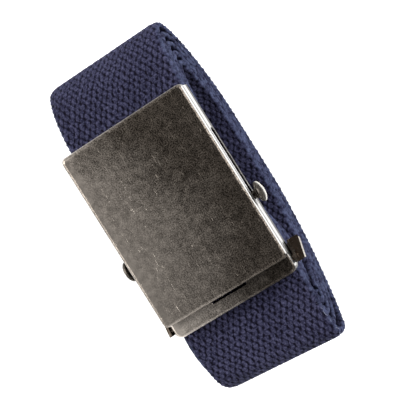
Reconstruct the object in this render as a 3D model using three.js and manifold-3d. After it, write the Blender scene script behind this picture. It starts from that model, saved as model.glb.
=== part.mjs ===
// Canvas web belt, rolled up, with its friction buckle on top.
// Millimetres, +Z up. The belt lies on the flat back of its roll. +X runs along the buckle
// towards the clamped end of the strap, +Y runs across the strap, and Z = 0 is the surface
// that it lies on.

import * as THREE from 'three';
import Module from 'manifold-3d';
import { mergeVertices } from 'three/addons/utils/BufferGeometryUtils.js';

const wasm = await Module();
wasm.setup();

// Driving dimensions of the strap and its roll
const STRAP_WIDTH = 40;
const STRAP_THICKNESS = 1.8;
const PLY_GAP = 0.35;
const ROLL_LENGTH = 107.6;
const ROLL_HEIGHT = 40.7;
const STRAP_TAIL = 9;

// Driving dimensions of the cover plate. COVER_SIDE is how far it reaches past the strap's edge.
const COVER_LENGTH = 56.4;
const COVER_SIDE = 0.95;
const COVER_FLANGE = 3.0;
const COVER_SHEET = 0.6;
const COVER_BEND = 1.2;
const COVER_CORNER = 1.6;
const COVER_OFFSET = -3.35;
const TAB_WIDTH = 11;
const TAB_FOOT = 2.2;
const TAB_SLOT_SHOWN = 0.9;

// Driving dimensions of the base behind it, whose walls stand BASE_SIDE past the strap's edge
const BASE_SIDE = 0.5;
const BASE_SHEET = 0.6;
const BASE_WALL = 4.6;
const BASE_BEND = 1.0;
const BASE_CORNER = 2.2;
const BASE_LIP = 4.8;

// Driving dimensions of the locking pin and its slots
const PIN_TRAVEL = 21;
const PIN_REST = 8.9;
const PIN_ROD_RADIUS = 1.05;
const PIN_ROLLER_RADIUS = 1.25;
const PIN_NECK_RADIUS = 1.65;
const PIN_HEAD_RADIUS = 3.2;
const PIN_HEAD_DOME = 1.3;
const PIN_HEAD_RIM = 0.35;
const PIN_NECK_LENGTH = 1.0;
const SLOT_DEPTH = 2.6;

// Driving dimensions of the end clamp
const CLAMP_SHEET = 0.8;
const CLAMP_LENGTH = 6.6;
const CLAMP_HEIGHT = 12.0;
const CLAMP_JAW = 6.5;
const CLAMP_NOSE = 2.6;
const CLAMP_CREST = 1.5;
const CLAMP_FLARE = 0.6;
const CLAMP_INSET = 1.4;
const PIVOT_RADIUS = 0.8;
const DIMPLE_RADIUS = 1.5;
const DIMPLE_DEPTH = 0.35;
const TOOTH_PITCH = 2.9;
const TOOTH_DEPTH = 0.9;

// Air between pieces, and how finely round shapes are divided
const FIT_GAP = 0.3;
const BEND_STEPS = 4;
const ROUND_SIDES = 24;
const STEPS_PER_ROW = 4;

// Levels and places that follow from the driving dimensions
const PITCH = STRAP_THICKNESS + PLY_GAP;
const WALL_REAR = ROLL_HEIGHT + FIT_GAP;
const BASE_FACE = WALL_REAR + BASE_WALL;
const BASE_INNER = BASE_FACE - BASE_SHEET;
const COVER_FACE = BASE_FACE + FIT_GAP + COVER_FLANGE;
const COVER_LEFT = COVER_OFFSET - COVER_LENGTH / 2;
const COVER_RIGHT = COVER_OFFSET + COVER_LENGTH / 2;
const BASE_LEFT = COVER_LEFT + COVER_SHEET + FIT_GAP;
const BASE_RIGHT = COVER_RIGHT + BASE_LIP;
const PIN_X = COVER_OFFSET + PIN_REST;
const PIN_Z = BASE_INNER - FIT_GAP - PIN_ROLLER_RADIUS - 0.5 * FIT_GAP;
const COVER_WIDTH = STRAP_WIDTH + 2 * COVER_SIDE;
const BASE_WIDTH = STRAP_WIDTH + 2 * BASE_SIDE;
const BUCKLE_HALF_WIDTH = STRAP_WIDTH / 2 + Math.max(COVER_SIDE, BASE_SIDE);
const EAR_INNER = BUCKLE_HALF_WIDTH + 1.5 * FIT_GAP;
const PIVOT_X = COVER_RIGHT + PIVOT_RADIUS + 1.5 * FIT_GAP;
const PIVOT_Z = (WALL_REAR + BASE_INNER) / 2;
const CREST_X = BASE_RIGHT - CLAMP_INSET - CLAMP_LENGTH;
const CREST_Z = PIVOT_Z - CLAMP_HEIGHT;

// Each piece's colour, roughness and metalness
const FINISHES = {
  webbing: { color: 0x30365a, roughness: 0.95, metalness: 0 },
  gunmetal: { color: 0x7b7670, roughness: 0.42, metalness: 0.9 },
  steel: { color: 0x6e6962, roughness: 0.45, metalness: 0.9 },
  pin: { color: 0x8f8a82, roughness: 0.4, metalness: 0.9 },
  clamp: { color: 0x4b453f, roughness: 0.5, metalness: 0.85 },
};

// The strap's route, seen from the side. Each row is a point that pulls the strap: x as a
// share of the roll's length from its middle, z as a share of the way from the strap on the
// resting surface to the strap under the buckle. slide moves the strap sideways, as a share
// of its width. splay and tip lean it, as slopes.
const LEAD = [
  { x: 0.309, z: 1.000, slide: -0.010, splay: 0.00, tip: 0.00 },
  { x: 0.389, z: 1.000, slide: -0.010, splay: 0.00, tip: 0.03 },
  { x: 0.449, z: 0.985, slide: -0.005, splay: 0.05, tip: 0.10 },
  { x: 0.471, z: 0.905, slide: 0.000, splay: 0.04, tip: 0.15 },
  { x: 0.476, z: 0.790, slide: 0.003, splay: 0.03, tip: 0.17 },
  { x: 0.470, z: 0.690, slide: 0.000, splay: 0.03, tip: 0.15 },
  { x: 0.447, z: 0.600, slide: -0.015, splay: 0.02, tip: 0.13 },
  { x: 0.407, z: 0.451, slide: -0.035, splay: 0.02, tip: 0.07 },
];

// One turn of the roll, in the same columns. inX, inZ and inSlide say how far the next turn
// lies from this one: the first two in plies, the last as a share of the strap's width.
const TURN = [
  { x: 0.345, z: 0.309, inX: -0.60, inZ: 0.85, slide: -0.050, inSlide: 0.000, tip: 0.02 },
  { x: 0.259, z: 0.176, inX: -0.45, inZ: 0.95, slide: -0.055, inSlide: 0.000, tip: 0.00 },
  { x: 0.159, z: 0.061, inX: -0.25, inZ: 1.00, slide: -0.060, inSlide: 0.000, tip: 0.00 },
  { x: 0.084, z: 0.000, inX: -0.10, inZ: 1.00, slide: -0.060, inSlide: 0.000, tip: 0.00 },
  { x: -0.001, z: 0.000, inX: 0.00, inZ: 1.00, slide: -0.060, inSlide: 0.000, tip: 0.00 },
  { x: -0.121, z: 0.000, inX: 0.05, inZ: 1.00, slide: -0.060, inSlide: 0.000, tip: 0.00 },
  { x: -0.246, z: 0.000, inX: 0.20, inZ: 1.00, slide: -0.060, inSlide: 0.000, tip: 0.00 },
  { x: -0.336, z: 0.091, inX: 0.58, inZ: 1.05, slide: -0.060, inSlide: 0.000, tip: 0.00 },
  { x: -0.418, z: 0.210, inX: 1.09, inZ: 0.90, slide: -0.060, inSlide: 0.000, tip: 0.00 },
  { x: -0.467, z: 0.344, inX: 1.45, inZ: 0.36, slide: -0.060, inSlide: 0.000, tip: 0.00 },
  { x: -0.486, z: 0.477, inX: 1.50, inZ: 0.05, slide: -0.060, inSlide: -0.002, tip: 0.00 },
  { x: -0.469, z: 0.599, inX: 1.50, inZ: -0.24, slide: -0.060, inSlide: -0.004, tip: 0.00 },
  { x: -0.433, z: 0.696, inX: 1.31, inZ: -0.60, slide: -0.060, inSlide: -0.006, tip: 0.00 },
  { x: -0.391, z: 0.758, inX: 1.10, inZ: -0.87, slide: -0.062, inSlide: -0.008, tip: 0.00 },
  { x: -0.313, z: 0.806, inX: 0.54, inZ: -1.00, slide: -0.065, inSlide: -0.008, tip: 0.00 },
  { x: -0.161, z: 0.863, inX: 0.10, inZ: -1.00, slide: -0.070, inSlide: -0.008, tip: 0.00 },
  { x: -0.011, z: 0.880, inX: 0.00, inZ: -1.00, slide: -0.072, inSlide: -0.008, tip: 0.00 },
  { x: 0.109, z: 0.814, inX: 0.00, inZ: -1.05, slide: -0.075, inSlide: -0.006, tip: 0.00 },
  { x: 0.199, z: 0.645, inX: 0.05, inZ: -1.10, slide: -0.080, inSlide: -0.002, tip: 0.00 },
  { x: 0.244, z: 0.737, inX: 0.20, inZ: -1.20, slide: -0.080, inSlide: 0.000, tip: 0.00 },
  { x: 0.295, z: 0.880, inX: 0.30, inZ: -1.28, slide: -0.076, inSlide: 0.000, tip: 0.01 },
  { x: 0.379, z: 0.914, inX: -0.45, inZ: -1.15, slide: -0.056, inSlide: 0.000, tip: 0.05 },
  { x: 0.441, z: 0.900, inX: -1.32, inZ: -1.10, slide: -0.034, inSlide: 0.000, tip: 0.13 },
  { x: 0.459, z: 0.783, inX: -1.64, inZ: -0.66, slide: -0.024, inSlide: 0.000, tip: 0.17 },
  { x: 0.431, z: 0.630, inX: -1.62, inZ: 0.02, slide: -0.032, inSlide: 0.000, tip: 0.13 },
  { x: 0.381, z: 0.462, inX: -1.10, inZ: 0.52, slide: -0.045, inSlide: 0.000, tip: 0.07 },
];
const TURNS = 4.64;

// Turns a three.js geometry into a solid that can be joined and cut.
function solidOf(geometry) {
  const bare = geometry.clone();
  bare.deleteAttribute('normal');
  bare.deleteAttribute('uv');
  const merged = mergeVertices(bare, 1e-4);
  return new wasm.Manifold(new wasm.Mesh({
    numProp: 3,
    vertProperties: new Float32Array(merged.attributes.position.array),
    triVerts: new Uint32Array(merged.index.array),
  }));
}

// Turns a solid back into a geometry with a normal for each face.
function geometryOf(solid) {
  const mesh = solid.getMesh();
  const geometry = new THREE.BufferGeometry();
  geometry.setAttribute('position', new THREE.BufferAttribute(new Float32Array(mesh.vertProperties), 3));
  geometry.setIndex(new THREE.BufferAttribute(new Uint32Array(mesh.triVerts), 1));
  geometry.computeVertexNormals();
  return geometry;
}

function block(low, high) {
  const box = new THREE.BoxGeometry(high[0] - low[0], high[1] - low[1], high[2] - low[2]);
  box.translate((low[0] + high[0]) / 2, (low[1] + high[1]) / 2, (low[2] + high[2]) / 2);
  return solidOf(box);
}

// A closed skin over a list of rings with as many points each, capped at both ends.
function skin(rings) {
  const size = rings[0].length;
  const position = rings.flat(2);
  const index = [];
  for (let ring = 0; ring + 1 < rings.length; ring += 1) {
    for (let side = 0; side < size; side += 1) {
      const here = ring * size + side;
      const next = ring * size + ((side + 1) % size);
      index.push(here, next, next + size, here, next + size, here + size);
    }
  }
  const last = (rings.length - 1) * size;
  for (let side = 1; side + 1 < size; side += 1) {
    index.push(0, side + 1, side);
    index.push(last, last + side, last + side + 1);
  }
  const geometry = new THREE.BufferGeometry();
  geometry.setAttribute('position', new THREE.Float32BufferAttribute(position, 3));
  geometry.setIndex(index);
  return geometry;
}

// A rectangle with round corners at one level, counter-clockwise seen from +Z.
function roundedRing(left, right, halfWidth, corner, z) {
  const ring = [];
  const corners = [
    [right - corner, halfWidth - corner, 0],
    [left + corner, halfWidth - corner, Math.PI / 2],
    [left + corner, corner - halfWidth, Math.PI],
    [right - corner, corner - halfWidth, 1.5 * Math.PI],
  ];
  for (const [x, y, start] of corners) {
    for (let step = 0; step <= BEND_STEPS; step += 1) {
      const angle = start + (step / BEND_STEPS) * (Math.PI / 2);
      ring.push([x + corner * Math.cos(angle), y + corner * Math.sin(angle), z]);
    }
  }
  return ring;
}

// A shallow pan of bent sheet, open towards -Z: a flat face with its edges bent back.
function pan({ left, right, width, face, depth, sheet, bend, corner }) {
  const rings = [];
  const ringAt = (inset, z) => {
    const round = Math.max(corner - inset, 0.05);
    rings.push(roundedRing(left + inset, right - inset, width / 2 - inset, round, z));
  };
  for (let step = BEND_STEPS; step >= 0; step -= 1) {
    const angle = (step / BEND_STEPS) * (Math.PI / 2);
    ringAt(sheet + (bend - sheet) * (1 - Math.cos(angle)), face - bend + (bend - sheet) * Math.sin(angle));
  }
  ringAt(sheet, face - depth);
  ringAt(0, face - depth);
  for (let step = 0; step <= BEND_STEPS; step += 1) {
    const angle = (step / BEND_STEPS) * (Math.PI / 2);
    ringAt(bend * (1 - Math.cos(angle)), face - bend + bend * Math.sin(angle));
  }
  return solidOf(skin(rings));
}

// The points that pull the strap through its lead and its turns, in millimetres.
function routePoints() {
  const pull = (row, plies) => ({
    x: row.x * ROLL_LENGTH + (row.inX ?? 0) * PITCH * plies,
    z: STRAP_THICKNESS / 2 + row.z * (ROLL_HEIGHT - STRAP_THICKNESS) + (row.inZ ?? 0) * PITCH * plies,
    slide: (row.slide + (row.inSlide ?? 0) * plies) * STRAP_WIDTH,
    splay: row.splay ?? 0,
    tip: row.tip,
  });
  const start = { ...LEAD[0], x: (BASE_RIGHT - STRAP_TAIL) / ROLL_LENGTH };
  const points = [start, ...LEAD].map((row) => pull(row, 0));
  const count = Math.round(TURNS * TURN.length);
  for (let index = 0; index < count; index += 1) {
    points.push(pull(TURN[index % TURN.length], Math.floor(index / TURN.length)));
  }
  return points;
}

// The route itself: a smooth curve that stays inside its pull points.
function strapRoute() {
  const pulls = routePoints();
  const columns = Object.keys(pulls[0]);
  const blend = (before, at, after, share) => {
    const place = {};
    for (const column of columns) {
      place[column] = 0.5 * (1 - share) ** 2 * before[column]
        + (0.5 + share * (1 - share)) * at[column]
        + 0.5 * share ** 2 * after[column];
    }
    return place;
  };
  const route = [pulls[0]];
  for (let index = 1; index + 1 < pulls.length; index += 1) {
    for (let step = 0; step < STEPS_PER_ROW; step += 1) {
      route.push(blend(pulls[index - 1], pulls[index], pulls[index + 1], step / STEPS_PER_ROW));
    }
  }
  route.push(blend(...pulls.slice(-3), 1));
  return route;
}

// The webbing: a flat band swept along the route.
function makeStrap() {
  const route = strapRoute();
  const rings = route.map((place, index) => {
    const before = route[Math.max(index - 1, 0)];
    const after = route[Math.min(index + 1, route.length - 1)];
    const along = new THREE.Vector2(after.x - before.x, after.z - before.z).normalize();
    const half = STRAP_THICKNESS / 2;
    const corner = (side, face) => {
      const across = (side * STRAP_WIDTH) / 2;
      return [
        place.x + across * place.splay + face * half * along.y,
        place.slide + across,
        place.z + across * place.tip - face * half * along.x,
      ];
    };
    return [corner(1, 1), corner(1, -1), corner(-1, -1), corner(-1, 1)];
  });
  return geometryOf(solidOf(skin(rings)));
}

// The face plate: a pan with a hooked tab at each end that holds the base.
function makeCover() {
  let plate = pan({
    left: COVER_LEFT,
    right: COVER_RIGHT,
    width: COVER_WIDTH,
    face: COVER_FACE,
    depth: COVER_FLANGE,
    sheet: COVER_SHEET,
    bend: COVER_BEND,
    corner: COVER_CORNER,
  });
  const footTop = BASE_INNER - FIT_GAP;
  const footBottom = footTop - COVER_SHEET;
  const rim = COVER_FACE - COVER_FLANGE + COVER_SHEET;
  for (const [outer, inward] of [[COVER_LEFT, 1], [COVER_RIGHT, -1]]) {
    const inner = outer + inward * COVER_SHEET;
    const toe = outer + inward * (COVER_SHEET + TAB_FOOT);
    const stem = [Math.min(outer, inner), Math.max(outer, inner)];
    const foot = [Math.min(outer, toe), Math.max(outer, toe)];
    plate = plate.add(block([stem[0], -TAB_WIDTH / 2, footBottom], [stem[1], TAB_WIDTH / 2, rim]));
    plate = plate.add(block([foot[0], -TAB_WIDTH / 2, footBottom], [foot[1], TAB_WIDTH / 2, footTop]));
  }
  return geometryOf(plate);
}

// A round-ended slot that runs across both walls, between two pin places.
function slotCutter(x0, x1, z, radius, halfSpan) {
  const shape = new THREE.Shape();
  shape.absarc(x1, z, radius, -Math.PI / 2, Math.PI / 2, false);
  shape.absarc(x0, z, radius, Math.PI / 2, 1.5 * Math.PI, false);
  const bar = new THREE.ExtrudeGeometry(shape, { depth: 2 * halfSpan, bevelEnabled: false, curveSegments: 8 });
  bar.rotateX(Math.PI / 2);
  bar.translate(0, halfSpan, 0);
  return solidOf(bar);
}

// The channel: a pan open at its left end, slotted for the pin, the clamp and the cover's tab.
function makeBase() {
  const overrun = BASE_CORNER + BASE_BEND;
  let channel = pan({
    left: BASE_LEFT - overrun,
    right: BASE_RIGHT,
    width: BASE_WIDTH,
    face: BASE_FACE,
    depth: BASE_WALL,
    sheet: BASE_SHEET,
    bend: BASE_BEND,
    corner: BASE_CORNER,
  });
  const reach = BASE_WIDTH;
  const above = BASE_FACE + BASE_WALL;
  const below = WALL_REAR - BASE_WALL;
  channel = channel.subtract(block([BASE_LEFT - 2 * overrun, -reach, below], [BASE_LEFT, reach, above]));
  channel = channel.subtract(slotCutter(PIN_X - PIN_TRAVEL, PIN_X, PIN_Z, SLOT_DEPTH / 2, reach));
  channel = channel.subtract(slotCutter(PIVOT_X, PIVOT_X, PIVOT_Z, PIVOT_RADIUS + FIT_GAP, reach));
  const slotLeft = COVER_RIGHT - COVER_SHEET - FIT_GAP;
  const slotRight = COVER_RIGHT + TAB_SLOT_SHOWN;
  const slotHalf = TAB_WIDTH / 2 + FIT_GAP;
  channel = channel.subtract(block([slotLeft, -slotHalf, BASE_INNER - BASE_BEND], [slotRight, slotHalf, above]));
  return geometryOf(channel);
}

// The pin: a roller between the walls, a thin rod through the slots, a neck and a domed head.
function makePin() {
  const wallInner = BASE_WIDTH / 2 - BASE_SHEET - FIT_GAP;
  const neckStart = BUCKLE_HALF_WIDTH + FIT_GAP;
  const headBack = neckStart + PIN_NECK_LENGTH;
  const half = [
    [PIN_ROLLER_RADIUS, 0],
    [PIN_ROLLER_RADIUS, wallInner],
    [PIN_ROD_RADIUS, wallInner],
    [PIN_ROD_RADIUS, neckStart],
    [PIN_NECK_RADIUS, neckStart],
    [PIN_NECK_RADIUS, headBack],
    [PIN_HEAD_RADIUS, headBack],
  ];
  for (let step = 0; step <= BEND_STEPS; step += 1) {
    const angle = (step / BEND_STEPS) * (Math.PI / 2);
    half.push([PIN_HEAD_RADIUS * Math.cos(angle), headBack + PIN_HEAD_RIM + PIN_HEAD_DOME * Math.sin(angle)]);
  }
  half[half.length - 1][0] = 0;
  const mirrored = half.slice(1).map(([radius, along]) => [radius, -along]).reverse();
  const profile = [...mirrored, ...half.slice(1)].map(([radius, along]) => new THREE.Vector2(radius, along));
  return geometryOf(solidOf(new THREE.LatheGeometry(profile, ROUND_SIDES)));
}

// A flat plate cut to an outline in the XZ plane, between two places across the buckle.
function plateAcross(outline, y0, y1) {
  const shape = new THREE.Shape(outline.map(([x, z]) => new THREE.Vector2(x, z)));
  const plate = new THREE.ExtrudeGeometry(shape, { depth: y1 - y0, bevelEnabled: false });
  plate.rotateX(Math.PI / 2);
  plate.translate(0, y1, 0);
  return solidOf(plate);
}

// A row of pointed teeth along the clamp's edge, from one ear to the other.
function toothedLip(x0, x1, low, high, halfSpan) {
  const count = Math.floor((2 * halfSpan) / TOOTH_PITCH);
  const step = (2 * halfSpan) / count;
  const outline = [[-halfSpan, low], [halfSpan, low]];
  for (let tooth = count; tooth > 0; tooth -= 1) {
    const edge = -halfSpan + tooth * step;
    outline.push([edge, high - TOOTH_DEPTH]);
    outline.push([edge - step / 2, high]);
  }
  outline.push([-halfSpan, high - TOOTH_DEPTH]);
  const shape = new THREE.Shape(outline.map(([y, z]) => new THREE.Vector2(y, z)));
  const lip = new THREE.ExtrudeGeometry(shape, { depth: x1 - x0, bevelEnabled: false });
  lip.rotateX(Math.PI / 2);
  lip.rotateZ(Math.PI / 2);
  lip.translate(x0, 0, 0);
  return solidOf(lip);
}

// The clamp: two ears outside the walls with their pivots, joined by a leaning toothed web.
function makeClamp() {
  const earOuter = EAR_INNER + CLAMP_SHEET;
  const right = CREST_X + CLAMP_LENGTH;
  const crest = [CREST_X + CLAMP_CREST, CREST_Z];
  const jaw = [right, PIVOT_Z - CLAMP_JAW];
  const ear = [
    [CREST_X - CLAMP_FLARE, PIVOT_Z],
    [CREST_X, CREST_Z + CLAMP_CREST],
    crest,
    jaw,
    [right - CLAMP_FLARE, PIVOT_Z + CLAMP_NOSE],
  ];
  let clamp = plateAcross(ear, EAR_INNER, earOuter).add(plateAcross(ear, -earOuter, -EAR_INNER));
  const slope = new THREE.Vector2(jaw[0] - crest[0], jaw[1] - crest[1]).normalize();
  const inward = [-slope.y * CLAMP_SHEET, slope.x * CLAMP_SHEET];
  const web = [crest, jaw, [jaw[0] + inward[0], jaw[1] + inward[1]], [crest[0] + inward[0], crest[1] + inward[1]]];
  clamp = clamp.add(plateAcross(web, -earOuter, earOuter));
  const lipTop = ROLL_HEIGHT - STRAP_THICKNESS - FIT_GAP;
  clamp = clamp.add(toothedLip(right - CLAMP_SHEET, right, jaw[1], lipTop, EAR_INNER - FIT_GAP));
  const pivotTip = BASE_WIDTH / 2 - BASE_SHEET - FIT_GAP;
  for (const side of [-1, 1]) {
    const pivot = new THREE.CylinderGeometry(PIVOT_RADIUS, PIVOT_RADIUS, earOuter - pivotTip, ROUND_SIDES);
    pivot.translate(PIVOT_X, (side * (earOuter + pivotTip)) / 2, PIVOT_Z);
    const dimple = new THREE.SphereGeometry(DIMPLE_RADIUS, ROUND_SIDES, ROUND_SIDES / 2);
    dimple.translate(PIVOT_X, side * (earOuter + DIMPLE_RADIUS - DIMPLE_DEPTH), PIVOT_Z);
    clamp = clamp.add(solidOf(pivot)).subtract(solidOf(dimple));
  }
  return geometryOf(clamp);
}

function meshOf(name, geometry, finish) {
  const mesh = new THREE.Mesh(geometry, new THREE.MeshStandardMaterial({ ...finish, name }));
  mesh.name = name;
  return mesh;
}

const belt = new THREE.Group();
belt.add(meshOf('strap', makeStrap(), FINISHES.webbing));
belt.add(meshOf('cover_plate', makeCover(), FINISHES.gunmetal));
belt.add(meshOf('buckle_base', makeBase(), FINISHES.steel));

const pin = meshOf('locking_pin', makePin(), FINISHES.pin);
pin.position.set(PIN_X, 0, PIN_Z);
belt.add(pin);

belt.add(meshOf('end_clamp', makeClamp(), FINISHES.clamp));

export default belt;
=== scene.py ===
"""Canvas web belt, rolled up with its friction buckle on top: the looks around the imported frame.

Everything is in metres, in the frame's own axes: +X runs along the buckle to the clamped end of
the strap, +Y across the strap, and Z = 0 is the surface that the belt lies on.
"""

import logging
import math
from dataclasses import dataclass, field
from enum import Enum
from typing import Any, Callable, Iterable, Optional, Sequence, Union

import bmesh
import bpy
import numpy as np
from mathutils import Matrix, Vector


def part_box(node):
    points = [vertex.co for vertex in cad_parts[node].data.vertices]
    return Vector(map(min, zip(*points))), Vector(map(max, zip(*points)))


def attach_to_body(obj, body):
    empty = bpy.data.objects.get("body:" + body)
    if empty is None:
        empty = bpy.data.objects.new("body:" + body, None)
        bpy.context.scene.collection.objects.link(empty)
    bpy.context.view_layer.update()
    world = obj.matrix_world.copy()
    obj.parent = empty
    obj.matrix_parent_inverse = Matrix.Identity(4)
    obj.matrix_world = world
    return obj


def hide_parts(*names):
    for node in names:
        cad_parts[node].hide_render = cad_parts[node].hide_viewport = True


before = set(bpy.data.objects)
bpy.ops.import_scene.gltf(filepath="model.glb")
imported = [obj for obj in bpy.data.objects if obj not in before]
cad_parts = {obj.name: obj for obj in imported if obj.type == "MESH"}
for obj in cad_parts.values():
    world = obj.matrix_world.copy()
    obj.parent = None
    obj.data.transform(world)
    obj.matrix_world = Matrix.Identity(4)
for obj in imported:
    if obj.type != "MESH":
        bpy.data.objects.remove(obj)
log = logging.getLogger("belt")

MM = 0.001
QUARTER = math.pi / 2


class Body(Enum):
    """The frame's bodies."""

    BELT = "belt"
    PIN = "pin"


class Node(Enum):
    """The frame's nodes."""

    STRAP = "strap"
    COVER = "cover_plate"
    BASE = "buckle_base"
    PIN = "locking_pin"
    CLAMP = "end_clamp"


class Slot(Enum):
    """The record's material slots."""

    WEBBING = "webbing"
    GUNMETAL = "gunmetal"
    STEEL = "steel"
    PIN = "pin"
    CLAMP = "clamp"


class Cut(Enum):
    """How a cutter or an addition joins a sheet part."""

    TAKE_AWAY = "DIFFERENCE"
    ADD = "UNION"


Three = tuple[float, float, float]
Four = tuple[float, float, float, float]
Colour = Four
Place = Three
Operand = Union["Sock", float, int]
Inputs = dict[Union[str, int], Any]
WHITE: Colour = (1.0, 1.0, 1.0, 1.0)


def linear(red: int, green: int, blue: int) -> Colour:
    """Turns an 8-bit sRGB colour into a linear one.

    Args:
        red: red, 0 to 255.
        green: green, 0 to 255.
        blue: blue, 0 to 255.

    Returns:
        The colour with alpha 1.
    """

    def one(value: int) -> float:
        """One channel."""
        share = value / 255
        return share / 12.92 if share <= 0.04045 else ((share + 0.055) / 1.055) ** 2.4

    return one(red), one(green), one(blue), 1.0


def both_ways(operation: str) -> tuple[Callable, Callable]:
    """One operator, for a socket on either side of it.

    Args:
        operation: the Math node's operation.

    Returns:
        The plain form and the reflected one.
    """

    def plain(self: "Sock", other: Operand) -> "Sock":
        """self, then other."""
        return self.worked(operation, self, other)

    def reflected(self: "Sock", other: Operand) -> "Sock":
        """other, then self."""
        return self.worked(operation, other, self)

    return plain, reflected


class Sock:
    """An output socket that can be used in sums."""

    def __init__(self, graph: "Graph", socket: bpy.types.NodeSocket) -> None:
        """Wraps one socket of a graph."""
        self.graph = graph
        self.socket = socket

    def worked(self, operation: str, *operands: Operand) -> "Sock":
        """A Math node over the operands, in their order."""
        node = self.graph.add("ShaderNodeMath", {"operation": operation}, dict(enumerate(operands)))
        return self.graph.out(node)

    __add__, __radd__ = both_ways("ADD")
    __sub__, __rsub__ = both_ways("SUBTRACT")
    __mul__, __rmul__ = both_ways("MULTIPLY")
    __truediv__, __rtruediv__ = both_ways("DIVIDE")
    __pow__, __rpow__ = both_ways("POWER")

    def floor(self) -> "Sock":
        """The whole number below."""
        return self.worked("FLOOR", self)

    def sin(self) -> "Sock":
        """Sine."""
        return self.worked("SINE", self)

    def size(self) -> "Sock":
        """Absolute value."""
        return self.worked("ABSOLUTE", self)

    def at_least(self, other: Operand) -> "Sock":
        """The larger of the two."""
        return self.worked("MAXIMUM", self, other)

    def at_most(self, other: Operand) -> "Sock":
        """The smaller of the two."""
        return self.worked("MINIMUM", self, other)

    def ramp(self, low: float, high: float, to_low: float = 0.0, to_high: float = 1.0) -> "Sock":
        """A smooth step from one value to another.

        Args:
            low: the input where the step starts.
            high: the input where it ends.
            to_low: the output up to the start.
            to_high: the output from the end on.

        Returns:
            The stepped value.
        """
        node = self.graph.add(
            "ShaderNodeMapRange",
            {"interpolation_type": "SMOOTHSTEP"},
            {0: self, 1: low, 2: high, 3: to_low, 4: to_high},
        )
        return self.graph.out(node)


class Graph:
    """A node tree under construction, either of a material or of Geometry Nodes."""

    def __init__(self, tree: bpy.types.NodeTree) -> None:
        """Starts on an empty tree."""
        self.tree = tree
        tree.nodes.clear()

    def add(
        self,
        kind: str,
        settings: Optional[dict[str, Any]] = None,
        values: Optional[Inputs] = None,
    ) -> bpy.types.Node:
        """Adds a node of any type.

        Args:
            kind: the node's type.
            settings: properties of the node by name.
            values: for each input, by name or index, a constant or a Sock to link.

        Returns:
            The node.
        """
        node = self.tree.nodes.new(kind)
        for name, value in (settings or {}).items():
            setattr(node, name, value)
        for key, value in (values or {}).items():
            if isinstance(value, Sock):
                self.tree.links.new(value.socket, node.inputs[key])
            else:
                node.inputs[key].default_value = value
        return node

    def out(self, node: bpy.types.Node, key: Union[str, int] = 0) -> Sock:
        """One output of a node."""
        return Sock(self, node.outputs[key])

    def axes(self, vector: Sock) -> tuple[Sock, Sock, Sock]:
        """The three parts of a vector."""
        node = self.add("ShaderNodeSeparateXYZ", values={0: vector})
        return self.out(node, 0), self.out(node, 1), self.out(node, 2)

    def vector(self, x: Operand, y: Operand, z: Operand = 0.0) -> Sock:
        """A vector of three parts."""
        return self.out(self.add("ShaderNodeCombineXYZ", values={0: x, 1: y, 2: z}))

    def coordinates(self, kind: str = "Object") -> Sock:
        """The place that is shaded."""
        return self.out(self.add("ShaderNodeTexCoord"), kind)

    def mark(self, name: str) -> Sock:
        """One of the mesh's attributes, in a material."""
        return self.out(self.add("ShaderNodeAttribute", {"attribute_name": name}), "Fac")

    def scaled(self, vector: Sock, scale: Sequence[float], turn: float = 0.0) -> Sock:
        """A vector turned about Z and scaled along each axis.

        Args:
            vector: the vector.
            scale: the three scales.
            turn: the turn in radians.

        Returns:
            The mapped vector.
        """
        node = self.add(
            "ShaderNodeMapping",
            {"vector_type": "POINT"},
            {"Vector": vector, "Rotation": (0.0, 0.0, turn), "Scale": tuple(scale)},
        )
        return self.out(node)

    def noise(self, vector: Sock, scale: float, detail: float = 3.0, rough: float = 0.55) -> Sock:
        """Fractal noise between 0 and 1.

        Args:
            vector: where it is read.
            scale: how many features there are to one unit.
            detail: how many finer layers it has.
            rough: how strong the finer layers are.

        Returns:
            The noise.
        """
        values = {"Vector": vector, "Scale": scale, "Detail": detail, "Roughness": rough}
        return self.out(self.add("ShaderNodeTexNoise", values=values))

    def blend(self, factor: Operand, first: Any, second: Any, mode: str = "MIX") -> Sock:
        """Mixes two colours.

        Args:
            factor: how much of the second shows.
            first: a colour or a Sock.
            second: a colour or a Sock.
            mode: the blend mode.

        Returns:
            The mixed colour.
        """
        settings = {"data_type": "RGBA", "blend_type": mode, "clamp_factor": True}
        node = self.add("ShaderNodeMix", settings, {0: factor, 6: first, 7: second})
        return self.out(node, 2)

    def bump(self, height: Sock, depth: float, strength: float = 1.0) -> Sock:
        """A normal from a height between 0 and 1.

        Args:
            height: the height.
            depth: how deep a height of 1 is, in metres.
            strength: the share of the effect that is used.

        Returns:
            The normal.
        """
        values = {"Height": height, "Distance": depth, "Strength": strength}
        return self.out(self.add("ShaderNodeBump", values=values))


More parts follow.
